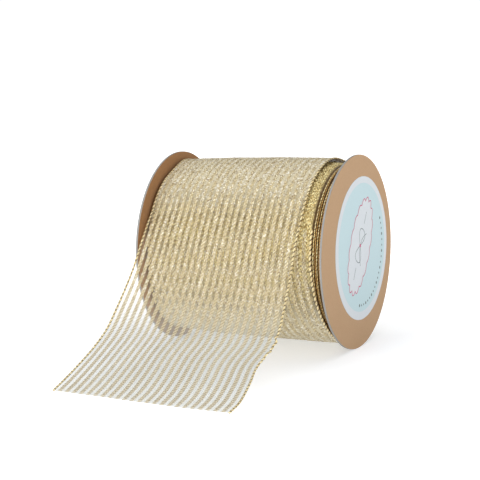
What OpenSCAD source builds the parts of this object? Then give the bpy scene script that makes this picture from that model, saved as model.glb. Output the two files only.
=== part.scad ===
// Cardboard spool of wide, wire-edged mesh ribbon.
// The origin is on the spool's axis at the middle of its width. +X runs along the axis towards
// the labelled flange, +Z is up, and the loose tail of the ribbon comes off the front, towards -Y.
// The spool stands on the rims of its two flanges.

/* [Spool] */
// Diameter of the two flange discs
flange_d = 105; // [104:0.5:120]
// Thickness of the grey board in each disc
board_t = 1; // [0.8:0.1:1.5]
// Thickness of the kraft paper pasted on each face of a disc
liner_t = 0.12; // [0.08:0.01:0.2]
// How far the kraft paper stops short of the board's cut edge
liner_inset = 0.1; // [0:0.05:0.5]
// Clear width between the two discs
gap_w = 105.2; // [105:0.2:112]
// Bore of the core tube
bore_d = 38; // [32:1:40]
// Wall thickness of the core tube
tube_wall = 2; // [1:0.25:2]

/* [Label] */
// Diameter of the round paper label
label_d = 78; // [70:1:84]
// Thickness of the label paper
label_t = 0.12; // [0.08:0.01:0.2]
// How far behind the axis the label is stuck
label_back = 5.7; // [0:0.1:8]
// How far above the axis the label is stuck
label_up = 1.3; // [0:0.1:4]

/* [Ribbon] */
// Width of the ribbon, selvedge to selvedge
ribbon_w = 101.6; // [100:0.2:102]
// Thickness of one layer of the mesh web
mesh_t = 0.3; // [0.2:0.05:0.3]
// Width of the thread binding along each edge
binding_w = 2; // [1.8:0.1:3]
// Thickness of the thread binding
binding_t = 0.9; // [0.8:0.05:0.9]
// Diameter of the wire inside each binding
wire_d = 0.4; // [0.3:0.05:0.4]

/* [Roll] */
// Radius of the wound roll at its left edge
roll_left_r = 44.2; // [40:0.1:44.2]
// Radius of the wound roll where it is thickest, towards its right edge
roll_right_r = 48.5; // [46:0.1:48.5]
// How far the roll falls away at its right edge
roll_drop = 2.8; // [0:0.1:4]
// Angle at which the tail leaves the roll, from the top towards the front
leave_angle = 57; // [50:1:60]

/* [Tape] */
// Width of the tape that holds the ribbon's inner end on the core, along the axis
tape_w = 25; // [15:1:40]
// Angle that the tape covers round the core
tape_angle = 60; // [30:1:90]

/* [Hidden] */
$fn = 96;

kraft = [0.73, 0.61, 0.5];
grey_board = [0.59, 0.59, 0.57];
gold_mesh = [0.82, 0.77, 0.63];
gold_thread = [0.76, 0.64, 0.38];
bright_wire = [0.75, 0.68, 0.5];

flange_r = flange_d / 2;
bore_r = bore_d / 2;
tube_r = bore_r + tube_wall;
inner_x = gap_w / 2;
outer_x = inner_x + board_t + 2 * liner_t;

// The winding starts this far off the tube, over the tape on the ribbon's inner end
tape_t = 0.08;
roll_inner_r = tube_r + 0.12;

// The binding is a channel folded round the edge, with the wire lying at its bottom
skin = 0.25;
wire_play = 0.06;
wire_seat = skin + wire_play + wire_d / 2;
web_edge = wire_seat + wire_d / 2 + wire_play;

// Steps along the outer turn and the tail, and across the web
turn_steps = 68;
tail_steps = 44;
web_steps = 10;

// The outer turn starts just below the tail, and stops short of it by a small slit
turn_start = -291;
slit_angle = 0.6;
edge_left_x = -51;

// The tail's two edges as [y, z], from the roll down to the cut end on the table, and the right
// edge's x at the same places. The left edge runs straight beside the left flange.
tail_left = [
    [-38, 24], [-46, 15], [-54, 5], [-62, -5], [-71, -14], [-81, -23],
    [-92, -32], [-106, -39], [-122, -44.9], [-135, -49.1], [-145, -52]
];
tail_right = [
    [-42, 26], [-51, 13], [-59, 2], [-67, -7], [-76, -16], [-86, -25],
    [-98, -33], [-112, -40], [-127, -45.5], [-142, -50], [-155, -52]
];
tail_right_x = [40, 40, 41, 42.5, 44, 45.7, 46.9, 44.7, 47.2, 49.3, 50];

// 0 before a, 1 after b, and a smooth step between them
function ease(a, b, t) =
    let (u = max(0, min(1, (t - a) / (b - a))))
    u * u * (3 - 2 * u);

// How far the ribbon has risen from its left edge to its right, at t from 0 to 1 across it. On the
// roll it rises steeply beside the left flange, and a bulge of 1 gives a straight line across.
roll_bulge = 2.5;
function crown(t, bulge = roll_bulge) = 1 - pow(1 - max(0, min(1, t)), bulge);

function on_roll(r, a) = [-r * sin(a), r * cos(a)];

// Radii and right edge of the outer turn at angle a, measured from the top towards the front
function turn_left_r(a) =
    45.1 + 1.8 * ease(-290, -230, a) + 1.2 * ease(-60, -10, a) - 3.1 * ease(-8, 20, a);
function turn_right_r(a) =
    49.4 + 0.9 * ease(-60, -25, a) - 0.9 * ease(-5, 30, a);
function turn_right_x(a) = 46 + 4.3 * ease(-280, -200, a) - 10.3 * ease(-60, -12, a);

// A cross-section of the loose ribbon:
// [left edge, right edge, x of right edge, outward normal, bulge]
function turn_station(a) = [
    on_roll(turn_left_r(a), a), on_roll(turn_right_r(a), a), turn_right_x(a), on_roll(1, a),
    roll_bulge
];

// Value at u along a list, on a smooth curve through its entries
function along(list, u) =
    let (last = len(list) - 1,
         i = min(floor(u), last - 1),
         f = u - i,
         p1 = list[i],
         p2 = list[i + 1],
         p0 = i > 0 ? list[i - 1] : 2 * p1 - p2,
         p3 = i + 2 <= last ? list[i + 2] : 2 * p2 - p1)
    p1 + f * ((p2 - p0) / 2
       + f * ((2 * p0 - 5 * p1 + 4 * p2 - p3) / 2
       + f * (3 * p1 - p0 - 3 * p2 + p3) / 2));

function unit(v) = v / norm(v);
function tail_middle(u) = (along(tail_left, u) + along(tail_right, u)) / 2;
function tail_normal(u) =
    let (last = len(tail_left) - 1,
         t = unit(tail_middle(min(u + 0.1, last)) - tail_middle(max(u - 0.1, 0))))
    [t[1], -t[0]];
// The tail flattens within this many stretches of its edges after it leaves the roll
flatten = 5;
function tail_station(u) = [
    along(tail_left, u), along(tail_right, u), along(tail_right_x, u), tail_normal(u),
    roll_bulge + (1 - roll_bulge) * ease(0, flatten, u)
];

turn_stations = [
    for (i = [0 : turn_steps])
        turn_station(turn_start + (leave_angle - slit_angle - turn_start) * i / turn_steps)
];
tail_first = 0.06;
tail_stations = [
    for (i = [0 : tail_steps])
        tail_station(tail_first + (len(tail_left) - 1 - tail_first) * i / tail_steps)
];

// Point of the ribbon at x across it and v off its middle surface
function ribbon_point(s, x, v) =
    let (t = (x - edge_left_x) / (s[2] - edge_left_x),
         yz = s[0] + (s[1] - s[0]) * crown(t, s[4]) + s[3] * v)
    [x, yz[0], yz[1]];

// Side -1 measures the distance d from the left edge, side 1 from the right edge
function edge_x(s, side, d) = side < 0 ? edge_left_x + d : s[2] - d;

// Triangles that skin rings of m points each, with the two end caps given as lists of quads
function skin_faces(rings, m, cap) = concat(
    [for (i = [0 : rings - 2], j = [0 : m - 1])
        [i * m + j, (i + 1) * m + j, (i + 1) * m + (j + 1) % m]],
    [for (i = [0 : rings - 2], j = [0 : m - 1])
        [i * m + j, (i + 1) * m + (j + 1) % m, i * m + (j + 1) % m]],
    [for (q = cap) [q[0], q[1], q[2]]],
    [for (q = cap) [q[0], q[2], q[3]]],
    [for (q = cap) [for (k = [2, 1, 0]) (rings - 1) * m + q[k]]],
    [for (q = cap) [for (k = [3, 2, 0]) (rings - 1) * m + q[k]]]
);

// The mesh web between the two bindings
module web_sheet(stations) {
    m = 2 * (web_steps + 1);
    points = [
        for (s = stations)
            let (x0 = edge_left_x + web_edge,
                 x1 = s[2] - web_edge)
            each concat(
                [for (k = [0 : web_steps])
                    ribbon_point(s, x0 + (x1 - x0) * k / web_steps, mesh_t / 2)],
                [for (k = [web_steps : -1 : 0])
                    ribbon_point(s, x0 + (x1 - x0) * k / web_steps, -mesh_t / 2)])
    ];
    cap = [for (k = [0 : web_steps - 1]) [k, k + 1, m - 2 - k, m - 1 - k]];
    polyhedron(points = points, faces = skin_faces(len(stations), m, cap));
}

// One edge binding: a channel that opens towards the web
module binding_channel(stations, side) {
    h = binding_t / 2;
    g = h - skin;
    section = [
        [0, h], [binding_w, h], [binding_w, g], [skin, g],
        [skin, -g], [binding_w, -g], [binding_w, -h], [0, -h]
    ];
    order = side < 0 ? [0 : 7] : [7 : -1 : 0];
    points = [
        for (s = stations, k = order)
            ribbon_point(s, edge_x(s, side, section[k][0]), section[k][1])
    ];
    cap = [[0, 1, 2, 3], [0, 3, 4, 7], [4, 5, 6, 7]];
    polyhedron(points = points, faces = skin_faces(len(stations), 8, cap));
}

// One edge wire, of six sides
module edge_wire(stations, side) {
    r = wire_d / 2;
    turns = side < 0 ? -60 : 60;
    points = [
        for (s = stations, k = [0 : 5])
            ribbon_point(s, edge_x(s, side, wire_seat) + r * cos(k * turns), r * sin(k * turns))
    ];
    cap = [[0, 1, 2, 3], [0, 3, 4, 5]];
    polyhedron(points = points, faces = skin_faces(len(stations), 6, cap));
}

// A ring about the spool's axis with its section given as [x, r] points
module ring(section) {
    rotate([0, 90, 0])
        rotate_extrude()
            polygon([for (p = section) [p[1], p[0]]]);
}

module washer(x0, x1, r0, r1) {
    ring([[x0, r0], [x1, r0], [x1, r1], [x0, r1]]);
}

// Radius of the wound roll at x. It rises from the left edge, and falls away in the last few
// millimetres before the right binding.
roll_half = ribbon_w / 2;
roll_shoulder = roll_half - binding_w;
roll_end_r = roll_right_r - roll_drop;
function roll_r(x) =
    roll_left_r + (roll_right_r - roll_left_r) * crown((x + roll_half) / ribbon_w)
    - roll_drop * pow((x + roll_half) / (roll_shoulder + roll_half), 24);

module core_tube() {
    color(kraft)
        rotate([0, 90, 0])
            difference() {
                cylinder(h = 2 * outer_x, r = tube_r, center = true);
                cylinder(h = 2 * outer_x + 2, r = bore_r, center = true);
            }
}

// Boards and liners are built on the right and mirrored for the left
module flange_board(side) {
    mirror([side < 0 ? 1 : 0, 0, 0])
        color(grey_board)
            washer(inner_x + liner_t, outer_x - liner_t, tube_r, flange_r);
}

module flange_liner(side, x) {
    mirror([side < 0 ? 1 : 0, 0, 0])
        color(kraft)
            washer(x, x + liner_t, tube_r, flange_r - liner_inset);
}

module label() {
    color([0.85, 0.88, 0.9])
        translate([outer_x, label_back, label_up])
            rotate([0, 90, 0])
                cylinder(h = label_t, r = label_d / 2);
}

module start_tape() {
    color([0.92, 0.9, 0.82])
        rotate([0, 90, 0])
            rotate_extrude(angle = tape_angle)
                translate([tube_r, -tape_w / 2])
                    square([tape_t, tape_w]);
}

// The wound web: a crowned ring with a tongue at each end that sits inside the bindings
module roll_mesh() {
    tongue = roll_half - web_edge;
    inner = roll_inner_r + skin + wire_play;
    left = roll_left_r - skin - wire_play;
    right = roll_end_r - skin - wire_play;
    color(gold_mesh)
        ring(concat(
            [[-roll_shoulder, roll_inner_r], [-roll_shoulder, inner], [-tongue, inner]],
            [[-tongue, left], [-roll_shoulder, left]],
            [for (k = [0 : 24]) let (x = roll_shoulder * (k / 12 - 1)) [x, roll_r(x)]],
            [[roll_shoulder, right], [tongue, right]],
            [[tongue, inner], [roll_shoulder, inner], [roll_shoulder, roll_inner_r]]
        ));
}

// The stacked edges of all the wound turns, as one channel round each end of the roll
module roll_binding(side, r) {
    color(gold_thread)
        ring([for (p = [
            [roll_shoulder, roll_inner_r], [roll_half, roll_inner_r], [roll_half, r],
            [roll_shoulder, r], [roll_shoulder, r - skin], [roll_half - skin, r - skin],
            [roll_half - skin, roll_inner_r + skin], [roll_shoulder, roll_inner_r + skin]
        ]) [side * p[0], p[1]]]);
}

// The stacked turns of the edge wire, as one flat ring inside each binding
module roll_wire(side, r) {
    x = side * (roll_half - wire_seat);
    color(bright_wire)
        washer(x - wire_d / 2, x + wire_d / 2,
            roll_inner_r + skin + wire_play, r - skin - wire_play);
}

module turn_mesh() {
    color(gold_mesh) web_sheet(turn_stations);
}

module turn_binding(side) {
    color(gold_thread) binding_channel(turn_stations, side);
}

module turn_wire(side) {
    color(bright_wire) edge_wire(turn_stations, side);
}

module tail_mesh() {
    color(gold_mesh) web_sheet(tail_stations);
}

module tail_binding(side) {
    color(gold_thread) binding_channel(tail_stations, side);
}

module tail_wire(side) {
    color(bright_wire) edge_wire(tail_stations, side);
}

core_tube();
flange_board(-1);  // left_flange_board
flange_liner(-1, outer_x - liner_t);  // left_flange_outer_liner
flange_liner(-1, inner_x);  // left_flange_inner_liner
flange_board(1);  // right_flange_board
flange_liner(1, outer_x - liner_t);  // right_flange_outer_liner
flange_liner(1, inner_x);  // right_flange_inner_liner
label();
start_tape();
roll_mesh();
roll_binding(-1, roll_left_r);  // roll_binding_left
roll_binding(1, roll_end_r);  // roll_binding_right
roll_wire(-1, roll_left_r);  // roll_wire_left
roll_wire(1, roll_end_r);  // roll_wire_right
turn_mesh();
turn_binding(-1);  // turn_binding_left
turn_binding(1);  // turn_binding_right
turn_wire(-1);  // turn_wire_left
turn_wire(1);  // turn_wire_right
tail_mesh();
tail_binding(-1);  // tail_binding_left
tail_binding(1);  // tail_binding_right
tail_wire(-1);  // tail_wire_left
tail_wire(1);  // tail_wire_right
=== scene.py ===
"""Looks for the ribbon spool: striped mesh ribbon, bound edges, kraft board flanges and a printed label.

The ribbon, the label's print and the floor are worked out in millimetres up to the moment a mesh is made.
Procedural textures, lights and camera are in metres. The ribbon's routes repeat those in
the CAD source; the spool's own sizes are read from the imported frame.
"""
import math

import bmesh
import bpy
import numpy as np
from mathutils import Matrix, Vector


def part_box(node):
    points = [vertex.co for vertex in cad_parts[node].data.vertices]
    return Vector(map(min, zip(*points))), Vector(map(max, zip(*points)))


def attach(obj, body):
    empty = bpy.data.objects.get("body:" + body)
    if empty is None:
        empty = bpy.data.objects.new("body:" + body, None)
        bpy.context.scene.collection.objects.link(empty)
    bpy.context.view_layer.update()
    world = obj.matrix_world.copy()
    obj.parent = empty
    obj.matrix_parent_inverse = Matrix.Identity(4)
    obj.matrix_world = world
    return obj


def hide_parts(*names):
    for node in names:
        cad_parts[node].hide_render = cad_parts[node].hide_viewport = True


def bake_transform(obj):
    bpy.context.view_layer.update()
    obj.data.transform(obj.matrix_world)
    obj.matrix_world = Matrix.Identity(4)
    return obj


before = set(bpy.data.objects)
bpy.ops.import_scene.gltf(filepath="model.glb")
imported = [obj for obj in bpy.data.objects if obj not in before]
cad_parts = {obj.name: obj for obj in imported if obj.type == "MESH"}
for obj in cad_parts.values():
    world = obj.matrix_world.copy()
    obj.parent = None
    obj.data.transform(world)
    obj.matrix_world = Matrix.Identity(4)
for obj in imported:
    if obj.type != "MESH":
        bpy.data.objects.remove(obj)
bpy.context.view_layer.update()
MM = 0.001


# ---------------------------------------------------------------- sizes from the frame, in mm

def box_mm(node):
    """A CAD node's lowest and highest corner, in mm."""
    low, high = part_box(node)
    return np.array(low) / MM, np.array(high) / MM


FLANGE_R = box_mm("right_flange_board")[1][2]
LABEL_X = box_mm("label")[1][0]
LABEL_Y, LABEL_Z = ((box_mm("label")[0] + box_mm("label")[1]) / 2)[1:]
FLOOR_Z = -FLANGE_R

# ---------------------------------------------------------------- the ribbon's shape, in mm

RIBBON_W = 101.6
EDGE_LEFT_X = -51.0
ROLL_LEFT_R = 43.8
ROLL_MIDDLE_R = 48.3
ROLL_RIGHT_R = 45.2
ROLL_BULGE = 2.5
RIGHT_SHOULDER = 14
TURN_START = -291.0
LEAVE_ANGLE = 57.0
SPLIT_ANGLE = 40.0
# The crown of the roll has faded from the tail after this many points of its route
FLATTEN = 5.0
# Round the roll: a value in mm, and its changes as (mm, from degrees, to degrees), where 0 is the top
TURN_LEFT_R = (45.1, ((1.8, -290, -230), (1.2, -60, -10), (-3.1, -8, 20)))
TURN_RIGHT_R = (49.4, ((0.9, -60, -25), (-0.9, -5, 30)))
TURN_RIGHT_X = (46, ((4.3, -280, -200), (-10.3, -60, -12)))
# The tail: each edge's route as (y, z), and how far right the right edge lies
TAIL_LEFT = np.array([
    (-38, 24), (-46, 15), (-54, 5), (-62, -5), (-71, -14), (-81, -23),
    (-92, -32), (-106, -39), (-122, -44.9), (-135, -49.1), (-145, -52)], float)
TAIL_RIGHT = np.array([
    (-42, 26), (-51, 13), (-59, 2), (-67, -7), (-76, -16), (-86, -25),
    (-98, -33), (-112, -40), (-127, -45.5), (-142, -50), (-155, -52)], float)
TAIL_RIGHT_X = np.array([40, 40, 41, 42.5, 44, 45.7, 46.9, 44.7, 47.2, 49.3, 50], float)

# The outer turn starts tight on the roll, this far above it, and loosens over these lengths
START_LIFT = 0.42
START_LOOSENS = (5.0, 60.0)
# The right edge was pinched at these lengths past the leaving line, over this length and width
PINCHES = (76.0, 87.0)
PINCH_LENGTH = 3.2
PINCH_WIDTH = 8


def ease(a, b, t):
    """0 before a, 1 after b, and a smooth rise between them."""
    u = np.clip((np.asarray(t, float) - a) / (b - a), 0, 1)
    return u * u * (3 - 2 * u)


def changing(route, angle):
    """A value round the roll: its start, then each change eased in over its own span of angles."""
    start, changes = route
    return start + sum(amount * ease(a, b, angle) for amount, a, b in changes)


def crown(t, bulge):
    """The share of the way from the left edge's height to the right edge's, at a share t of the width."""
    return 1 - np.power(1 - np.clip(t, 0, 1), bulge)


def on_roll(r, degrees):
    """The point (y, z) at radius r, at an angle that grows from the top towards the front."""
    a = np.radians(degrees)
    return np.stack([-r * np.sin(a), r * np.cos(a)], -1)


def roll_radius(x):
    """The wound roll's radius at x."""
    t = (x + RIBBON_W / 2) / RIBBON_W
    left = (ROLL_MIDDLE_R - ROLL_LEFT_R) * np.power(np.clip(1 - t, 0, 1), ROLL_BULGE)
    right = (ROLL_MIDDLE_R - ROLL_RIGHT_R) * np.power(np.clip(t, 0, 1), RIGHT_SHOULDER)
    return ROLL_MIDDLE_R - left - right


def along(values, u):
    """Values at u along a list, on a smooth curve through its entries."""
    last = len(values) - 1
    i = np.minimum(np.floor(u).astype(int), last - 1)
    f = u - i
    padded = np.concatenate([[2 * values[0] - values[1]], values, [2 * values[-1] - values[-2]]])
    p0, p1, p2, p3 = padded[i], padded[i + 1], padded[i + 2], padded[i + 3]
    if values.ndim > 1:
        f = f[:, None]
    return p1 + f * ((p2 - p0) / 2 + f * ((2 * p0 - 5 * p1 + 4 * p2 - p3) / 2
                     + f * (3 * p1 - p0 - 3 * p2 + p3) / 2))


def smooth_noise(positions, wavelength, amplitude, seed):
    """A soft random curve over positions in mm."""
    local = np.random.default_rng(seed)
    knots = np.arange(positions.min() - wavelength, positions.max() + 3 * wavelength, wavelength)
    heights = local.uniform(-1, 1, len(knots))
    i = np.clip(((positions - knots[0]) / wavelength).astype(int), 0, len(knots) - 2)
    f = (positions - knots[0]) / wavelength - i
    f = f * f * (3 - 2 * f)
    return amplitude * (heights[i] * (1 - f) + heights[i + 1] * f)


class LooseRibbon:
    """The outer turn and the tail as one sheet: a point at s mm along, w mm across and v mm out."""

    def __init__(self):
        angle = np.linspace(TURN_START, LEAVE_ANGLE, 700)
        u = np.linspace(0, len(TAIL_LEFT) - 1, 400)[1:]
        self.left = np.concatenate([on_roll(changing(TURN_LEFT_R, angle), angle), along(TAIL_LEFT, u)])
        self.right = np.concatenate([on_roll(changing(TURN_RIGHT_R, angle), angle), along(TAIL_RIGHT, u)])
        self.right_x = np.concatenate([changing(TURN_RIGHT_X, angle), along(TAIL_RIGHT_X, u)])
        self.bulge = np.concatenate([np.full(len(angle), ROLL_BULGE),
                                     ROLL_BULGE + (1 - ROLL_BULGE) * ease(0, FLATTEN, u)])
        middle = (self.left + self.right) / 2
        steps = np.linalg.norm(np.diff(middle, axis=0), axis=1)
        self.s = np.concatenate([[0], np.cumsum(steps)])
        tangent = np.gradient(middle, self.s, axis=0)
        tangent /= np.linalg.norm(tangent, axis=1)[:, None]
        self.normal = np.stack([tangent[:, 1], -tangent[:, 0]], -1)
        self.s_leave = self.s[len(angle) - 1]
        self.s_split = np.interp(SPLIT_ANGLE, angle, self.s[:len(angle)])
        self.s_end = self.s[-1]

    def point(self, s, w, v):
        s, w, v = np.broadcast_arrays(*(np.asarray(q, float) for q in (s, w, v)))
        pick = lambda values: np.interp(s, self.s, values)
        right_x = pick(self.right_x)
        x = EDGE_LEFT_X + w / RIBBON_W * (right_x - EDGE_LEFT_X)
        t = crown(w / RIBBON_W, pick(self.bulge))
        free = ease(self.s_leave + 5, self.s_leave + 60, s)
        out = v + self.ripple(s, w, free)
        y = pick(self.left[:, 0]) * (1 - t) + pick(self.right[:, 0]) * t
        z = pick(self.left[:, 1]) * (1 - t) + pick(self.right[:, 1]) * t
        tight = (roll_radius(x) + START_LIFT) / np.hypot(y, z)
        loosened = ease(*START_LOOSENS, s)
        y = y * (tight + (1 - tight) * loosened) + pick(self.normal[:, 0]) * out
        z = z * (tight + (1 - tight) * loosened) + pick(self.normal[:, 1]) * out
        x = x + self.edge_crimp(s, w)
        return np.stack([x, y, z], -1)

    def ripple(self, s, w, free):
        """The slight unevenness of springy mesh between two wired edges."""
        inside = np.sin(np.pi * np.clip(w / RIBBON_W, 0, 1))
        on_the_roll = 0.12 * np.sin(s / 9.0 + w / 17.0) * np.sin(w / 6.5) * inside
        in_the_air = 0.5 * np.sin(s / 21.0 + 1.1 + w / 40.0) * inside * free
        crimp = 0.45 * np.sin((s - self.s_leave) / 0.9) * self.crimp_window(s, w)
        return on_the_roll * ease(*START_LOOSENS, s) + in_the_air + crimp

    def crimp_window(self, s, w):
        """Where the right edge was pinched: twice, near the middle of the tail."""
        first, second = (np.exp(-((s - self.s_leave - at) / PINCH_LENGTH) ** 2) for at in PINCHES)
        return (first + second) * ease(RIBBON_W - PINCH_WIDTH, RIBBON_W, w)

    def edge_crimp(self, s, w):
        """The small sideways folds in the pinched edge."""
        return 0.5 * np.sin((s - self.s_leave) / 1.1) * self.crimp_window(s, w)


class WoundTurn:
    """A whole turn of the wound roll, as a closed ring: s mm round, w mm across, v mm out."""

    def __init__(self, left_x, right_x, lift, wobble, seed):
        self.left_x, self.right_x, self.lift, self.wobble = left_x, right_x, lift, wobble
        self.s_end = 2 * math.pi * ROLL_MIDDLE_R
        self.phase = np.random.default_rng(seed).uniform(0, 2 * math.pi, 3)

    def sway(self, a):
        """How far the right edge wanders sideways at angle a."""
        return self.wobble * (0.6 * np.sin(a + self.phase[0]) + 0.3 * np.sin(2 * a + self.phase[1])
                              + 0.15 * np.sin(5 * a + self.phase[2]))

    def point(self, s, w, v):
        s, w, v = np.broadcast_arrays(*(np.asarray(q, float) for q in (s, w, v)))
        a = 2 * math.pi * s / self.s_end
        x = self.left_x + w / RIBBON_W * (self.right_x - self.left_x) + self.sway(a) * w / RIBBON_W
        r = roll_radius(x) + self.lift + v
        return np.stack([x, -r * np.sin(a), r * np.cos(a)], -1)


loose = LooseRibbon()


# ---------------------------------------------------------------- meshes

def make_mesh(name, points, faces, material, uv=None, smooth=True):
    """A mesh object from points in mm. uv gives each point's (across, along) in mm."""
    mesh = bpy.data.meshes.new(name)
    points = np.asarray(points, float).reshape(-1, 3) * MM
    faces = np.asarray(faces, int)
    mesh.vertices.add(len(points))
    mesh.vertices.foreach_set("co", points.astype(np.float32).ravel())
    mesh.loops.add(faces.size)
    mesh.loops.foreach_set("vertex_index", faces.astype(np.int32).ravel())
    mesh.polygons.add(len(faces))
    mesh.polygons.foreach_set("loop_start", np.arange(0, faces.size, faces.shape[1], dtype=np.int32))
    mesh.update(calc_edges=True)
    mesh.validate()
    mesh.polygons.foreach_set("use_smooth", np.full(len(mesh.polygons), smooth))
    if uv is not None:
        layer = mesh.uv_layers.new(name="Ribbon")
        index = np.empty(len(mesh.loops), np.int32)
        mesh.loops.foreach_get("vertex_index", index)
        layer.data.foreach_set("uv", np.asarray(uv, float).reshape(-1, 2)[index].astype(np.float32).ravel())
    mesh.materials.append(material)
    obj = bpy.data.objects.new(name, mesh)
    bpy.context.scene.collection.objects.link(obj)
    return obj


def grid_faces(rows, columns, close_rows=False, close_columns=False, offset=0):
    """Quads over a grid of points stored row by row."""
    i = np.arange(rows if close_rows else rows - 1)[:, None]
    j = np.arange(columns if close_columns else columns - 1)[None, :]
    i2, j2 = (i + 1) % rows, (j + 1) % columns
    quads = np.stack([i * columns + j, i2 * columns + j, i2 * columns + j2, i * columns + j2], -1)
    return quads.reshape(-1, 4) + offset


def sheet(name, ribbon, s0, s1, material, across=44, step=1.5, closed=False, margin=0.4):
    """The mesh web, as one sheet of quads."""
    rows = int((s1 - s0) / step) + 1
    s = np.linspace(s0, s1, rows + 1)[:-1] if closed else np.linspace(s0, s1, rows)
    w = np.linspace(margin, RIBBON_W - margin, across)
    ss, ww = np.meshgrid(s, w, indexing="ij")
    points = ribbon.point(ss, ww, 0.0)
    uv = np.stack([ww, ss], -1)
    return make_mesh(name, points, grid_faces(rows, across, close_rows=closed), material, uv)


# The weave: the first stripe's middle and the stripes' pitch, the cross threads' pitch and slant, and the
# yarns of a stripe
STRIPE_FIRST = 4.2
STRIPE_PITCH = 4.236
STRIPES = 23
WEFT_PITCH = 2.3
DASH_SLANT = 1.0
WEB_WEFT_PITCH = 0.9
YARN_OFFSETS = (-0.78, 0.0, 0.78)
YARN_W = 0.36
CRIMP = 0.14


def yarns(name, ribbon, s0, s1, material, seed, *, v=0.0, closed=False, width=YARN_W, twisting):
    """The metallic stripes: flat yarns that dip under cross threads, each out of step with the next, so
    that they show as short dashes in a brick pattern."""
    local = np.random.default_rng(seed)
    step = WEFT_PITCH / 4
    rows = 4 * int((s1 - s0) / WEFT_PITCH)
    s = np.linspace(s0, s1, rows + 1)[:-1] if closed else s0 + np.arange(rows + 1) * step
    s = np.minimum(s, s1)
    rows = len(s)
    points, faces, uv = [], [], []
    count = 0
    for k in range(STRIPES):
        for column, offset in enumerate(YARN_OFFSETS):
            w = STRIPE_FIRST + STRIPE_PITCH * k + offset
            twist = smooth_noise(s, 0.95, twisting, int(local.integers(1 << 30)))
            drift = smooth_noise(s, 25.0, 0.08, int(local.integers(1 << 30)))
            phase = math.pi * column + 0.4
            lift = v + CRIMP * np.sin(2 * math.pi * (s - s0) / WEFT_PITCH + phase)
            half_w = width / 2 * np.cos(twist)
            half_v = width / 2 * np.sin(twist)
            a = ribbon.point(s, w + drift - half_w, lift - half_v)
            b = ribbon.point(s, w + drift + half_w, lift + half_v)
            points.append(np.stack([a, b], 1).reshape(-1, 3))
            uv.append(np.stack([np.stack([np.full(rows, w - 0.2), s], -1),
                                np.stack([np.full(rows, w + 0.2), s], -1)], 1).reshape(-1, 2))
            faces.append(grid_faces(rows, 2, close_rows=closed, offset=count))
            count += 2 * rows
    return make_mesh(name, np.concatenate(points), np.concatenate(faces), material,
                     np.concatenate(uv), smooth=False)


def cord(name, centre, s0, s1, material, radius, pitch=2.71, depth=0.22, step=0.45, sides=12, closed=False,
         flat=1.0):
    """A bound edge: thread wrapped round the wire, as a tube with one turning lobe. centre(s, du, dv) gives
    the point du mm across and dv mm out of the cord's middle."""
    rows = int((s1 - s0) / step) + 1
    if closed:
        pitch = (s1 - s0) / round((s1 - s0) / pitch)
    s = np.linspace(s0, s1, rows + 1)[:-1] if closed else np.linspace(s0, s1, rows)
    phi = np.linspace(0, 2 * math.pi, sides, endpoint=False)
    ss, pp = np.meshgrid(s, phi, indexing="ij")
    lobe = np.cos(pp - 2 * math.pi * ss / pitch)
    r = radius * (1 + depth * (lobe - 0.3))
    points = centre(ss, r * np.cos(pp), flat * r * np.sin(pp))
    uv = np.stack([(lobe + 1) / 2, ss], -1)
    faces = grid_faces(rows, sides, close_rows=closed, close_columns=True)
    obj = make_mesh(name, points, faces, material, uv)
    if not closed:
        close_ends(obj)
    return obj


def close_ends(obj):
    """Fills the open ends of a tube."""
    bm = bmesh.new()
    bm.from_mesh(obj.data)
    rim = [e for e in bm.edges if e.is_boundary]
    bmesh.ops.holes_fill(bm, edges=rim, sides=0)
    bm.to_mesh(obj.data)
    bm.free()


# ---------------------------------------------------------------- materials

# Sockets of a Mix node in colour mode
MIX_A = 6
MIX_B = 7
MIX_RESULT = 2


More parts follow.
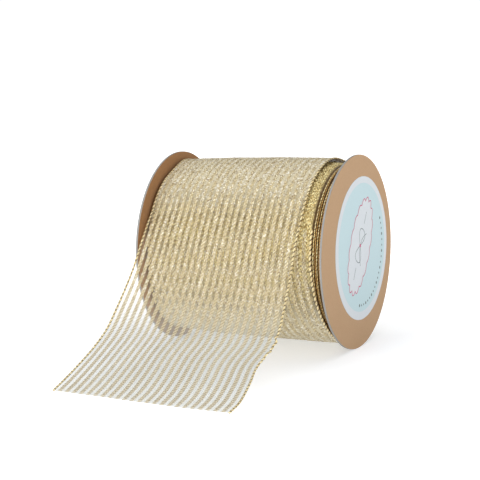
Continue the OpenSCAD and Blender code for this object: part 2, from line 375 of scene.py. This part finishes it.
class Nodes:
    """Small helper that builds a node material."""

    def __init__(self, name):
        self.material = bpy.data.materials.new(name)
        self.material.use_nodes = True
        self.tree = self.material.node_tree
        self.tree.nodes.clear()
        self.out = self.add("ShaderNodeOutputMaterial")
        self.bsdf = self.add("ShaderNodeBsdfPrincipled")
        self.link(self.bsdf.outputs[0], self.out.inputs["Surface"])

    def add(self, kind, **settings):
        node = self.tree.nodes.new(kind)
        for key, value in settings.items():
            setattr(node, key, value)
        return node

    def link(self, a, b):
        self.tree.links.new(a, b)

    def put(self, socket, value):
        """Links a socket to a socket, or sets its own value."""
        if isinstance(value, bpy.types.NodeSocket):
            self.link(value, socket)
        else:
            socket.default_value = value

    def maths(self, operation, a, b=0.0):
        node = self.add("ShaderNodeMath", operation=operation)
        self.put(node.inputs[0], a)
        self.put(node.inputs[1], b)
        return node.outputs[0]

    def mix(self, share, a, b):
        """A colour that share of the way from a to b."""
        node = self.add("ShaderNodeMix", data_type="RGBA")
        self.put(node.inputs["Factor"], share)
        self.put(node.inputs[MIX_A], (*a, 1) if isinstance(a, tuple) else a)
        self.put(node.inputs[MIX_B], (*b, 1) if isinstance(b, tuple) else b)
        return node.outputs[MIX_RESULT]

    def band(self, value, low, high):
        """0 up to low, 1 from high on, and a smooth rise between them."""
        node = self.add("ShaderNodeMapRange", interpolation_type="SMOOTHSTEP")
        self.put(node.inputs["Value"], value)
        node.inputs["From Min"].default_value = low
        node.inputs["From Max"].default_value = high
        return node.outputs["Result"]

    def place(self):
        return self.add("ShaderNodeTexCoord").outputs["Object"]

    def noise(self, scale, detail=2.0, where=None):
        node = self.add("ShaderNodeTexNoise")
        node.inputs["Scale"].default_value = scale
        node.inputs["Detail"].default_value = detail
        self.link(where or self.place(), node.inputs["Vector"])
        return node.outputs["Fac"]

    def bump(self, height, distance):
        node = self.add("ShaderNodeBump")
        node.inputs["Strength"].default_value = 0.5
        node.inputs["Distance"].default_value = distance
        self.link(height, node.inputs["Height"])
        return node.outputs["Normal"]

    def ribbon_uv(self):
        """(across, along) in mm."""
        uv = self.add("ShaderNodeUVMap", uv_map="Ribbon")
        split = self.add("ShaderNodeSeparateXYZ")
        self.link(uv.outputs[0], split.inputs[0])
        return split.outputs[0], split.outputs[1]

    def wave(self, value, pitch, start=0.0):
        """Distance from the nearest line of a row of lines, from 0 on a line to 1 halfway."""
        shifted = self.maths("SUBTRACT", value, start)
        turns = self.maths("DIVIDE", shifted, pitch)
        part = self.maths("FRACT", self.maths("ADD", turns, 0.5))
        return self.maths("MULTIPLY", self.maths("ABSOLUTE", self.maths("SUBTRACT", part, 0.5)), 2.0)

    def cells(self, scale):
        """Small cells, each with its own random colour, and that colour's three parts."""
        node = self.add("ShaderNodeTexVoronoi")
        node.inputs["Scale"].default_value = scale
        self.link(self.place(), node.inputs["Vector"])
        split = self.add("ShaderNodeSeparateColor")
        self.link(node.outputs["Color"], split.inputs[0])
        return node.outputs["Color"], split.outputs

    def glitter(self, scale, strength):
        """The surface normal, turned a random way in each small cell, and three random values of the cell."""
        colour, random = self.cells(scale)
        centred = self.add("ShaderNodeVectorMath", operation="SUBTRACT")
        self.link(colour, centred.inputs[0])
        centred.inputs[1].default_value = (0.5, 0.5, 0.5)
        scaled = self.add("ShaderNodeVectorMath", operation="SCALE")
        self.link(centred.outputs[0], scaled.inputs[0])
        scaled.inputs["Scale"].default_value = strength
        summed = self.add("ShaderNodeVectorMath", operation="ADD")
        self.link(scaled.outputs[0], summed.inputs[0])
        self.link(self.add("ShaderNodeNewGeometry").outputs["Normal"], summed.inputs[1])
        unit = self.add("ShaderNodeVectorMath", operation="NORMALIZE")
        self.link(summed.outputs[0], unit.inputs[0])
        return unit.outputs[0], random


def kraft_paper(name, shade):
    """Brown paper with fibres and flecks; shade scales each of its three colour channels."""
    n = Nodes(name)
    fibres = n.noise(1400, 4)
    cloud = n.noise(60, 2)
    specks = n.band(n.noise(2600, 1), 0.68, 0.74)
    pale, mid, deep, fleck = (tuple(k * c for k, c in zip(shade, tone)) for tone in (
        (0.50, 0.330, 0.198), (0.43, 0.272, 0.150), (0.40, 0.25, 0.14), (0.26, 0.16, 0.09)))
    tone = n.mix(fibres, mid, pale)
    tone = n.mix(n.maths("MULTIPLY", cloud, 0.25), tone, deep)
    tone = n.mix(n.maths("MULTIPLY", specks, 0.55), tone, fleck)
    n.link(tone, n.bsdf.inputs["Base Color"])
    n.bsdf.inputs["Roughness"].default_value = 0.86
    n.bsdf.inputs["Specular IOR Level"].default_value = 0.25
    n.link(n.bump(fibres, 0.00003), n.bsdf.inputs["Normal"])
    return n.material


def grey_board():
    """The cut edge of pressed board, in thin layers."""
    n = Nodes("grey_board")
    x, _, _ = split_place(n)
    layers = n.noise(1.0, 2, combine(n, n.maths("MULTIPLY", x, 9000.0), 0.0, 0.0))
    fibres = n.noise(2200, 3)
    tone = n.mix(fibres, (0.25, 0.25, 0.24), (0.42, 0.42, 0.41))
    tone = n.mix(n.maths("MULTIPLY", layers, 0.4), tone, (0.2, 0.195, 0.18))
    n.link(tone, n.bsdf.inputs["Base Color"])
    n.bsdf.inputs["Roughness"].default_value = 0.92
    n.link(n.bump(fibres, 0.00005), n.bsdf.inputs["Normal"])
    return n.material


def split_place(n):
    """The place on the object as x, y and z, in metres."""
    split = n.add("ShaderNodeSeparateXYZ")
    n.link(n.place(), split.inputs[0])
    return split.outputs


def combine(n, x, y, z):
    node = n.add("ShaderNodeCombineXYZ")
    for socket, value in zip(node.inputs, (x, y, z)):
        n.put(socket, value)
    return node.outputs[0]


def tube_board():
    """Paper wound in a slanting strip, so its butt joint runs round the tube as a helix."""
    n = Nodes("tube_board")
    x, y, z = split_place(n)
    turn = n.maths("DIVIDE", n.maths("ARCTAN2", y, z), 2 * math.pi)
    seam = n.wave(n.maths("ADD", turn, n.maths("DIVIDE", x, 0.055)), 1.0)
    line = n.band(seam, 0.0, 0.03)
    tone = n.mix(n.noise(1500, 4), (0.40, 0.29, 0.19), (0.52, 0.39, 0.27))
    tone = n.mix(line, (0.24, 0.16, 0.1), tone)
    n.link(tone, n.bsdf.inputs["Base Color"])
    n.bsdf.inputs["Roughness"].default_value = 0.9
    n.link(n.bump(line, 0.0001), n.bsdf.inputs["Normal"])
    return n.material


def print_ink(name, tone):
    """Printed matt paper, very slightly mottled."""
    n = Nodes(name)
    mottle = n.noise(700, 3)
    darker = tuple(0.94 * c for c in tone)
    n.link(n.mix(mottle, darker, tone), n.bsdf.inputs["Base Color"])
    n.bsdf.inputs["Roughness"].default_value = 0.5
    n.bsdf.inputs["Specular IOR Level"].default_value = 0.35
    n.link(n.bump(n.noise(2500, 2), 0.00001), n.bsdf.inputs["Normal"])
    return n.material


def gold_yarn(name, dark, light, under, roughness, strength, reaches_tail):
    """Flat metallised yarn: small facets that each catch the light their own way, and painted shade where
    the yarn dips under a cross thread. On the free tail, away from the gold of the roll, it turns paler: the
    warmer tone on the roll is painted light, reflected from the roll's gold."""
    n = Nodes(name)
    normal, random = n.glitter(1400, strength)
    across, length = n.ribbon_uv()
    slanted = n.maths("ADD", length, n.maths("MULTIPLY", across, DASH_SLANT))
    dip = n.band(n.wave(slanted, WEFT_PITCH), 0.40, 0.62)
    gold = n.mix(n.band(random[0], 0.3, 0.8), dark, light)
    n.bsdf.inputs["Metallic"].default_value = 0.5
    dip_depth = 0.5
    if reaches_tail:
        free = n.band(length, loose.s_leave + 30, loose.s_leave + 80)
        # Painted light: the warm gold that the roll reflects onto the yarn fades on the free tail.
        gold = n.mix(n.maths("MULTIPLY", free, 0.7), gold, (0.66, 0.60, 0.46))
        dip_depth = n.maths("ADD", 0.5, n.maths("MULTIPLY", free, 0.4))
        n.link(n.maths("SUBTRACT", 0.5, n.maths("MULTIPLY", free, 0.4)), n.bsdf.inputs["Metallic"])
    # under is the colour of the painted shade where the yarn dips under a cross thread.
    n.link(n.mix(n.maths("MULTIPLY", dip, dip_depth), gold, under), n.bsdf.inputs["Base Color"])
    n.bsdf.inputs["Roughness"].default_value = roughness
    n.link(normal, n.bsdf.inputs["Normal"])
    return n.material


def yarn_band(n, across, length):
    """Where a metallic stripe lies, and where its yarns dip under the cross threads."""
    stripe = n.maths("SUBTRACT", 1.0, n.band(n.wave(across, STRIPE_PITCH, STRIPE_FIRST), 0.46, 0.60))
    slanted = n.maths("ADD", length, n.maths("MULTIPLY", across, DASH_SLANT))
    return stripe, n.band(n.wave(slanted, WEFT_PITCH), 0.45, 0.8)


def pale_mesh():
    """Fine open weave of clear, pale thread, close and gold along the stripes. On the roll the thread is
    painted warm and bright, for light from the gold below it, and nearly hides the roll; the free tail is
    cooler. The stripes carry painted shade where their yarns dip under cross threads, and on the roll there
    are painted glints and dark flecks of painted reflection. It fades in where the outer turn starts."""
    n = Nodes("pale_mesh")
    across, length = n.ribbon_uv()
    warp = n.wave(across, STRIPE_PITCH / 6)
    weft = n.wave(length, WEB_WEFT_PITCH)
    warp_mask = n.maths("SUBTRACT", 1.0, n.band(warp, 0.34, 0.56))
    weft_mask = n.maths("SUBTRACT", 1.0, n.band(weft, 0.40, 0.62))
    cover = n.maths("MAXIMUM", warp_mask, weft_mask)
    stripe, tick = yarn_band(n, across, length)
    free = n.band(length, loose.s_leave + 45, loose.s_leave + 85)
    cool = n.mix(n.noise(900, 2), (0.40, 0.445, 0.44), (0.48, 0.53, 0.52))
    # warm, and the warmer yarn colour on the roll, are painted light from the gold below.
    warm = n.mix(n.noise(900, 2), (0.62, 0.54, 0.36), (0.74, 0.67, 0.48))
    yarn = n.mix(free, (0.70, 0.58, 0.32), (0.74, 0.67, 0.49))
    # dip is painted shade where the stripes' yarns dip under the cross threads, deeper on the free tail.
    dip = n.mix(free, (0.54, 0.44, 0.26), (0.30, 0.22, 0.10))
    striped = n.mix(stripe, n.mix(free, warm, cool), n.mix(n.maths("MULTIPLY", tick, 0.9), yarn, dip))
    _, random = n.cells(1250)
    leaving = n.band(length, loose.s_leave - 25, loose.s_leave + 10)
    wound = n.maths("MULTIPLY", n.band(length, 30, 60), n.maths("SUBTRACT", 1.0, leaving))
    # Painted glints and dark flecks of painted reflection, in single small cells, on the roll only.
    painted_glint = n.maths("MULTIPLY", n.band(random[0], 0.84, 0.92), n.maths("SUBTRACT", 1.0, free))
    fleck = n.maths("MULTIPLY", n.band(random[1], 0.84, 0.92), n.maths("SUBTRACT", 1.0, free))
    with_painted_glints = n.mix(n.maths("MULTIPLY", fleck, 0.75), striped, (0.28, 0.19, 0.11))
    with_painted_glints = n.mix(n.maths("MULTIPLY", painted_glint, 0.9), with_painted_glints, (1.0, 0.96, 0.84))
    n.link(with_painted_glints, n.bsdf.inputs["Base Color"])
    n.bsdf.inputs["Roughness"].default_value = 0.45
    solid = n.maths("ADD", 0.14, n.maths("MULTIPLY", free, 0.20))
    open_part = n.maths("ADD", n.maths("ADD", 0.05, n.maths("MULTIPLY", free, 0.17)),
                        n.maths("MULTIPLY", wound, 0.78))
    woven = n.maths("ADD", open_part, n.maths("MULTIPLY", cover, solid))
    alpha = n.maths("MAXIMUM", woven, n.maths("MULTIPLY", stripe, 0.85))
    n.link(n.maths("MULTIPLY", alpha, n.band(length, 2.0, 30.0)), n.bsdf.inputs["Alpha"])
    n.link(n.bump(cover, 0.0001), n.bsdf.inputs["Normal"])
    return n.material


def wound_mesh():
    """Many layers of the ribbon seen together: gold stripes crossed by fine ticks of painted shade where the
    yarns dip, painted shade where the openings of the top layers lie over one another, deeper towards the left
    end, single dark points of painted reflection, and painted shade in deep brown past the right edges."""
    n = Nodes("wound_mesh")
    across, length = n.ribbon_uv()
    stripe, tick = yarn_band(n, across, length)
    hole = n.band(n.wave(length, WEFT_PITCH), 0.35, 0.75)
    edge = n.maths("SUBTRACT", 1.0, n.band(across, 3.0, 14.0))
    normal, random = n.glitter(1200, 0.8)
    gold = n.mix(random[0], (0.68, 0.51, 0.18), (1.0, 0.87, 0.44))
    # Single dark points: painted dark reflections.
    painted_dark_speck = n.band(random[1], 0.86, 0.92)
    gold = n.mix(n.maths("MULTIPLY", painted_dark_speck, 0.75), gold, (0.22, 0.16, 0.12))
    # The ticks are painted shade where the yarns dip under cross threads.
    crossed = n.mix(n.maths("MULTIPLY", tick, 0.40), gold, (0.42, 0.29, 0.11))
    # dark and between are painted shade in the openings, stronger near the left end.
    dark = n.maths("MULTIPLY", hole, n.maths("ADD", 0.45, n.maths("MULTIPLY", edge, 0.4)))
    between = n.mix(dark, gold, (0.25, 0.19, 0.13))
    tone = n.mix(stripe, between, crossed)
    # Past the right edges: painted shade in the gaps between the wound edges.
    n.link(n.mix(n.band(across, 95.5, 97.0), tone, (0.10, 0.055, 0.015)), n.bsdf.inputs["Base Color"])
    n.bsdf.inputs["Metallic"].default_value = 0.55
    n.bsdf.inputs["Roughness"].default_value = 0.42
    n.link(normal, n.bsdf.inputs["Normal"])
    return n.material


def bound_thread(name, dark, light, groove_shade, groove_ends):
    """Gold thread wrapped round the edge wire, with painted shade in the grooves between its turns."""
    n = Nodes(name)
    lobe, _ = n.ribbon_uv()
    normal, random = n.glitter(2000, 0.5)
    bright = n.mix(random[0], dark, light)
    # The groove colour is painted shade.
    n.link(n.mix(n.band(lobe, 0.0, groove_ends), groove_shade, bright), n.bsdf.inputs["Base Color"])
    n.bsdf.inputs["Metallic"].default_value = 0.6
    n.bsdf.inputs["Roughness"].default_value = 0.28
    n.link(normal, n.bsdf.inputs["Normal"])
    return n.material


def stacked_edges():
    """The edges of the wound turns, seen end on as fine rings, with painted shade in the dark lines between
    them.
    """
    n = Nodes("stacked_edges")
    _, y, z = split_place(n)
    r = n.maths("SQRT", n.maths("ADD", n.maths("MULTIPLY", y, y), n.maths("MULTIPLY", z, z)))
    ring = n.wave(r, 0.0007)
    grain = n.noise(1800, 3)
    # The dark rings are painted shade between the turns.
    tone = n.mix(n.band(ring, 0.2, 0.9), (0.72, 0.56, 0.28), (0.16, 0.10, 0.04))
    n.link(n.mix(n.maths("MULTIPLY", grain, 0.5), tone, (0.85, 0.72, 0.42)), n.bsdf.inputs["Base Color"])
    n.bsdf.inputs["Metallic"].default_value = 0.8
    n.bsdf.inputs["Roughness"].default_value = 0.42
    n.link(n.bump(ring, 0.0003), n.bsdf.inputs["Normal"])
    return n.material


def plain_wire():
    """Thin brass-coloured wire."""
    n = Nodes("plain_wire")
    n.link(n.mix(n.noise(2500, 2), (0.62, 0.5, 0.27), (0.78, 0.66, 0.4)), n.bsdf.inputs["Base Color"])
    n.bsdf.inputs["Metallic"].default_value = 1.0
    n.bsdf.inputs["Roughness"].default_value = 0.3
    return n.material


def clear_tape():
    """Yellowed tape."""
    n = Nodes("clear_tape")
    n.link(n.mix(n.noise(300, 3), (0.78, 0.72, 0.58), (0.86, 0.82, 0.7)), n.bsdf.inputs["Base Color"])
    n.bsdf.inputs["Roughness"].default_value = 0.3
    return n.material


def floor_white():
    """A white studio floor with a painted glow: dimmer near the spool, as painted shadow, and brightening away
    from it.
    """
    n = Nodes("floor_white")
    n.link(n.mix(n.noise(3, 2), (0.69, 0.69, 0.695), (0.71, 0.71, 0.715)), n.bsdf.inputs["Base Color"])
    n.bsdf.inputs["Roughness"].default_value = 0.9
    n.bsdf.inputs["Specular IOR Level"].default_value = 0.1
    x, y, _ = split_place(n)
    away = n.maths("SQRT", n.maths("ADD", n.maths("MULTIPLY", x, x), n.maths("MULTIPLY", y, y)))
    # Painted glow, dimmer near the spool as a painted shadow.
    painted_glow = n.mix(n.band(away, 0.05, 0.26), (0.435, 0.45, 0.47), (0.95, 0.95, 0.95))
    n.link(painted_glow, n.bsdf.inputs["Emission Color"])
    n.bsdf.inputs["Emission Strength"].default_value = 1.0
    return n.material


KRAFT = kraft_paper("kraft_paper", (1.0, 1.0, 1.0))
# The same kraft paper as the outer faces, made darker: painted shade for the inner faces, which lie in the
# shadow between roll and flange.
KRAFT_PAINTED_SHADE = kraft_paper("kraft_paper_painted_shade", (0.84, 0.68, 0.52))
GREY_BOARD = grey_board()
TUBE_BOARD = tube_board()
TAPE = clear_tape()
WHITE_PAPER = print_ink("label_paper", (0.60, 0.64, 0.67))
AQUA_INK = print_ink("aqua_ink", (0.47, 0.62, 0.655))
PINK_INK = print_ink("pink_ink", (0.50, 0.05, 0.14))
GREY_INK = print_ink("grey_ink", (0.12, 0.16, 0.16))
# The third colour of each yarn is painted shade in its dips.
GOLD_YARN = gold_yarn("gold_yarn", (0.66, 0.54, 0.31), (1.0, 0.95, 0.74), (0.46, 0.35, 0.18),
                      0.30, 0.9, True)
WOUND_YARN = gold_yarn("wound_yarn", (0.66, 0.49, 0.18), (1.0, 0.88, 0.46), (0.30, 0.20, 0.09),
                       0.30, 0.9, False)
PALE_MESH = pale_mesh()
WOUND_MESH = wound_mesh()
THREAD = bound_thread("bound_thread", (0.74, 0.55, 0.25), (1.0, 0.90, 0.58),
                      (0.08, 0.05, 0.015), 0.42)
# A darker copy of the bound thread: painted shade for every second wound edge.
PAINTED_SHADE_THREAD = bound_thread("thread_painted_shade", (0.30, 0.14, 0.03), (0.85, 0.58, 0.20),
                            (0.12, 0.05, 0.01), 0.3)
BRIGHT_THREAD = bound_thread("bright_thread", (0.62, 0.41, 0.12), (1.0, 0.92, 0.55),
                             (0.20, 0.10, 0.02), 0.3)
EDGES = stacked_edges()
WIRE = plain_wire()

# ---------------------------------------------------------------- CAD parts that stay

CAD_LOOKS = {
    "core_tube": TUBE_BOARD,
    "left_flange_board": GREY_BOARD,
    "right_flange_board": GREY_BOARD,
    "left_flange_outer_liner": KRAFT,
    "left_flange_inner_liner": KRAFT_PAINTED_SHADE,
    "right_flange_outer_liner": KRAFT,
    "right_flange_inner_liner": KRAFT_PAINTED_SHADE,
    "label": WHITE_PAPER,
    "start_tape": TAPE,
    "roll_binding_left": EDGES,
    "roll_binding_right": EDGES,
    "roll_wire_left": WIRE,
    "roll_wire_right": WIRE,
}
for node_name, look in CAD_LOOKS.items():
    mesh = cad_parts[node_name].data
    mesh.materials.clear()
    mesh.materials.append(look)


# ---------------------------------------------------------------- the label's print

PRINT_LIFT = 0.02
DESIGN_TILT = math.radians(59)
DISC_R = 35.0
OVAL_HALF = (26.0, 13.6)
OVAL_B = 3
SCALLOPS = 18
SCALLOP_DEPTH = 0.09
BOW_B = 3.5
OUTLINE_W = 0.55
BOW_W = 0.42
FINE_W = 0.38
DOTS = 22
DOT_RING_R = 31.2


def on_label(a, b, layer):
    """A point of the print: a mm along the design's baseline, b mm up it, on a given layer of ink."""
    a, b = np.asarray(a, float), np.asarray(b, float)
    y = LABEL_Y + a * math.cos(DESIGN_TILT) - b * math.sin(DESIGN_TILT)
    z = LABEL_Z + a * math.sin(DESIGN_TILT) + b * math.cos(DESIGN_TILT)
    return np.stack([np.full(a.shape, LABEL_X + PRINT_LIFT * layer), y, z], -1)


def ink_patch(name, a, b, layer, material):
    """A filled outline, as a fan of triangles round its middle."""
    rim = on_label(a, b, layer)
    points = np.concatenate([rim, rim.mean(0)[None]])
    n = len(rim)
    i = np.arange(n)
    faces = np.stack([i, (i + 1) % n, np.full(n, n)], -1)
    return make_mesh(name, points, faces, material, smooth=False)


def ink_line(name, a, b, layer, width, material, closed=False):
    """A line of even width along a path in the design."""
    path = np.stack([a, b], -1)
    if closed:
        tangent = np.roll(path, -1, 0) - np.roll(path, 1, 0)
    else:
        tangent = np.gradient(path, axis=0)
    tangent /= np.linalg.norm(tangent, axis=1)[:, None]
    side = np.stack([-tangent[:, 1], tangent[:, 0]], -1) * width / 2
    one, two = path + side, path - side
    points = np.stack([on_label(one[:, 0], one[:, 1], layer), on_label(two[:, 0], two[:, 1], layer)], 1)
    return make_mesh(name, points, grid_faces(len(path), 2, close_rows=closed), material, smooth=False)


def scalloped_oval():
    """The outline of the white oval in the label's middle."""
    t = np.linspace(0, 2 * math.pi, 480, endpoint=False)
    wave = 1 + SCALLOP_DEPTH * np.abs(np.sin(SCALLOPS * t / 2))
    return OVAL_HALF[0] * wave * np.cos(t), OVAL_B + OVAL_HALF[1] * wave * np.sin(t)


def label_print():
    """A plain motif: a disc, a scalloped oval, a line-drawn bow between two rules, and an arc of dots."""
    t = np.linspace(0, 2 * math.pi, 180, endpoint=False)
    disc_a, disc_b = DISC_R * np.cos(t) + 0.5, DISC_R * np.sin(t)
    pieces = [ink_patch("label_disc_print", disc_a, disc_b, 1, AQUA_INK)]
    oval_a, oval_b = scalloped_oval()
    pieces.append(ink_patch("label_oval_print", oval_a, oval_b, 2, WHITE_PAPER))
    pieces.append(ink_line("label_oval_outline", oval_a, oval_b, 3, OUTLINE_W, PINK_INK, closed=True))
    u = np.linspace(0, 2 * math.pi, 80)
    loop_a = 9.5 * np.sin(u)
    loop_b = BOW_B + 4.2 * np.sin(2 * u)
    pieces.append(ink_line("label_bow_loops", loop_a, loop_b, 3, BOW_W, GREY_INK))
    v = np.linspace(0, 1, 24)
    for side, tag in ((-1, "left"), (1, "right")):
        end_a = side * (0.6 + 9 * v)
        end_b = 3.2 - 5.4 * v + 1.4 * np.sin(math.pi * v)
        pieces.append(ink_line(f"label_bow_end_{tag}", end_a, end_b, 3, FINE_W, GREY_INK))
        rule_a = side * np.linspace(13, 20, 8)
        pieces.append(ink_line(f"label_rule_{tag}", rule_a, np.full(8, BOW_B), 3, FINE_W, GREY_INK))
    knot_a, knot_b = 0.9 * np.cos(t), BOW_B + 1.1 * np.sin(t)
    pieces.append(ink_patch("label_bow_knot", knot_a, knot_b, 4, PINK_INK))
    for k, angle in enumerate(np.radians(np.linspace(-158, -34, DOTS))):
        size = 0.62 if k % 3 else 0.85
        c = np.linspace(0, 2 * math.pi, 20, endpoint=False)
        dot_a = DOT_RING_R * math.cos(angle) + size * np.cos(c)
        dot_b = DOT_RING_R * math.sin(angle) + size * np.sin(c)
        pieces.append(ink_patch(f"label_dot_{k:02d}", dot_a, dot_b, 2, GREY_INK))
    for piece in pieces:
        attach(piece, "spool")


label_print()


# ---------------------------------------------------------------- the wound roll

# Edges of wound turns at the right end: x, height above the roll, thread radius, pitch of the wrapping, look
# Every second edge's look is a darker copy of the thread, as painted shade.
RIGHT_EDGES = (
    (46.9, 0.3, 0.36, 2.4, BRIGHT_THREAD), (47.9, 0.45, 0.28, 1.5, PAINTED_SHADE_THREAD),
    (48.9, 0.3, 0.34, 2.1, BRIGHT_THREAD), (49.9, 0.4, 0.28, 1.6, PAINTED_SHADE_THREAD),
    (50.9, 0.2, 0.32, 1.9, BRIGHT_THREAD))
LEFT_EDGES_X = (-50.3, -49.4)
WOUND_YARN_W = 0.7


def turn_edge(turn, w):
    """The middle line of a wound turn's edge, w mm across it."""

    def centre(s, du, dv):
        nothing = np.zeros_like(du)
        return turn.point(s, w, dv) + np.stack([du, nothing, nothing], -1)

    return centre


def wound_roll():
    """The mass of wound turns, with the stripes of two turns near its surface and the edges that show."""
    body = WoundTurn(-50.4, 50.2, lift=0.0, wobble=0.0, seed=1)
    core = sheet("wound_roll", body, 0, body.s_end, WOUND_MESH, across=90, step=2.0, closed=True, margin=0.0)
    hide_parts("roll_mesh")
    made = [core]
    for name, turn, seed in (
            ("wound_turn_stripes", WoundTurn(-51.0, 46.0, lift=0.3, wobble=0.25, seed=2), 11),
            ("wound_lower_stripes", WoundTurn(-50.0, 47.1, lift=0.15, wobble=0.3, seed=3), 12)):
        made.append(yarns(name, turn, 0, turn.s_end, WOUND_YARN, seed, closed=True, width=WOUND_YARN_W,
                          twisting=0.5))
    for k, (x, lift, radius, pitch, look) in enumerate(RIGHT_EDGES):
        turn = WoundTurn(-50.8, x, lift, wobble=0.3, seed=20 + k)
        made.append(cord(f"wound_edge_{k + 1}", turn_edge(turn, RIBBON_W), 0, turn.s_end, look, radius,
                         pitch=pitch, depth=0.10, step=0.38, sides=8, closed=True))
    for k, x in enumerate(LEFT_EDGES_X):
        turn = WoundTurn(x, 44, lift=0.3, wobble=0.0, seed=40 + k)
        made.append(cord(f"wound_left_edge_{k + 1}", turn_edge(turn, 0.0), 0, turn.s_end, THREAD, 0.42,
                         closed=True))
    for piece in made:
        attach(piece, "spool")


wound_roll()


# ---------------------------------------------------------------- the loose ribbon

# The bound edge: its radius, how flat it is, and how far its middle lies in from the ribbon's edge
CORD_R = 0.68
CORD_FLAT = 0.62
CORD_IN = 0.6
WIRE_R = 0.2


def edge_centre(side):
    """The middle line of the left (-1) or right (1) bound edge."""
    middle = CORD_IN if side < 0 else RIBBON_W - CORD_IN

    def centre(s, du, dv):
        return loose.point(s, middle + du, dv)

    return centre


def stretch_of_ribbon(name, s0, s1, twisting):
    """One stretch of loose ribbon: web, stripes, two bound edges and their wires."""
    web = sheet(f"{name}_web", loose, s0, s1, PALE_MESH)
    stripes = yarns(f"{name}_stripes", loose, s0, s1, GOLD_YARN, 5, v=0.05, twisting=twisting)
    extra = []
    for side, tag in ((-1, "left"), (1, "right")):
        centre = edge_centre(side)
        extra.append(cord(f"{name}_edge_{tag}", centre, s0, s1, THREAD, CORD_R, flat=CORD_FLAT))
        extra.append(cord(f"{name}_core_wire_{tag}", centre, s0, s1, WIRE, WIRE_R, depth=0.0, step=1.0,
                          sides=6))
    return web, stripes, extra


turn_web, turn_stripes, turn_extra = stretch_of_ribbon("turn", 0.0, loose.s_split, 0.7)
tail_web, tail_stripes, tail_extra = stretch_of_ribbon("tail", loose.s_split, loose.s_end, 0.3)

for piece in (turn_web, turn_stripes, *turn_extra):
    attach(piece, "outer_turn")
for piece in (tail_web, tail_stripes, *tail_extra):
    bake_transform(piece)

for prefix, web, stripes, extra in (("turn", turn_web, turn_stripes, turn_extra),
                                    ("tail", tail_web, tail_stripes, tail_extra)):
    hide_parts(f"{prefix}_mesh")
    left_edge, left_wire, right_edge, right_wire = extra
    for tag, edge, wire in (("left", left_edge, left_wire), ("right", right_edge, right_wire)):
        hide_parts(f"{prefix}_binding_{tag}")
        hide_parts(f"{prefix}_wire_{tag}")


# ---------------------------------------------------------------- floor, light and camera

# The sky as (height, brightness), where height runs from the horizon at 0 to overhead at 1
SKY_STOPS = ((0.0, 1.0), (0.08, 1.0), (0.20, 0.36), (0.50, 0.36), (0.75, 0.6), (1.0, 0.7))
CAMERA_PLACE = (0.3468, -0.7704, 0.1234)
CAMERA_ANGLES = (25.24, 8.0, -1.228)
CAMERA_LENS = 115.64
CAMERA_SENSOR = 36

def floor():
    """A round floor, far wider than the view."""
    rings, sides, reach = 24, 96, 6000.0
    r = np.concatenate([[1.0], np.geomspace(60, reach, rings)])
    a = np.linspace(0, 2 * math.pi, sides, endpoint=False)
    rr, aa = np.meshgrid(r, a, indexing="ij")
    points = np.stack([rr * np.cos(aa), rr * np.sin(aa), np.full_like(rr, FLOOR_Z)], -1)
    obj = make_mesh("floor", points, grid_faces(len(r), sides, close_columns=True)[:, ::-1], floor_white())


def soft_light(name, place, target, size, power):
    """A rectangular lamp aimed at a point, in metres and watts."""
    data = bpy.data.lights.new(name, "AREA")
    data.shape = "RECTANGLE"
    data.size, data.size_y = size
    data.energy = power
    lamp = bpy.data.objects.new(name, data)
    lamp.location = place
    aim = Vector(target) - Vector(place)
    lamp.rotation_euler = aim.to_track_quat("-Z", "Y").to_euler()
    bpy.context.scene.collection.objects.link(lamp)


def sky():
    """A white studio: bright overhead and at the horizon, with darker walls between."""
    world = bpy.data.worlds.new("studio")
    bpy.context.scene.world = world
    world.use_nodes = True
    tree = world.node_tree
    tree.nodes.clear()
    out = tree.nodes.new("ShaderNodeOutputWorld")
    back = tree.nodes.new("ShaderNodeBackground")
    where = tree.nodes.new("ShaderNodeTexCoord")
    split = tree.nodes.new("ShaderNodeSeparateXYZ")
    ramp = tree.nodes.new("ShaderNodeValToRGB")
    tree.links.new(where.outputs["Generated"], split.inputs[0])
    tree.links.new(split.outputs[2], ramp.inputs[0])
    tree.links.new(ramp.outputs[0], back.inputs["Color"])
    tree.links.new(back.outputs[0], out.inputs["Surface"])
    while len(ramp.color_ramp.elements) < len(SKY_STOPS):
        ramp.color_ramp.elements.new(0.5)
    for element, (height, level) in zip(ramp.color_ramp.elements, SKY_STOPS):
        element.position = height
        element.color = (level, level, level, 1)
    back.inputs["Strength"].default_value = 1.05


def camera():
    """The studio view: round to the right of the ribbon's tail and slightly above, with a long lens."""
    azimuth, elevation, roll = (math.radians(q) for q in CAMERA_ANGLES)
    back = Vector((math.sin(azimuth) * math.cos(elevation), -math.cos(azimuth) * math.cos(elevation),
                   math.sin(elevation)))
    right = Vector((math.cos(azimuth), math.sin(azimuth), 0))
    up = back.cross(right)
    right, up = (math.cos(roll) * right + math.sin(roll) * up,
                 -math.sin(roll) * right + math.cos(roll) * up)
    data = bpy.data.cameras.new("camera")
    data.sensor_width = CAMERA_SENSOR
    data.lens = CAMERA_LENS
    data.clip_start, data.clip_end = 0.01, 100
    cam = bpy.data.objects.new("camera", data)
    turn = Matrix((right, up, back)).transposed().to_4x4()
    cam.matrix_world = Matrix.Translation(CAMERA_PLACE) @ turn
    bpy.context.scene.collection.objects.link(cam)
    bpy.context.scene.camera = cam


floor()
sky()
soft_light("key", (-0.6, -1.2, 0.42), (0, -0.02, 0), (1.0, 0.6), 8.8)
soft_light("fill", (1.3, -0.7, 0.55), (0, 0, 0), (0.8, 0.8), 3.0)
soft_light("top", (0.1, 0.1, 1.4), (0, 0, 0), (1.2, 0.8), 4.0)
camera()
bpy.context.scene.view_settings.view_transform = "Standard"
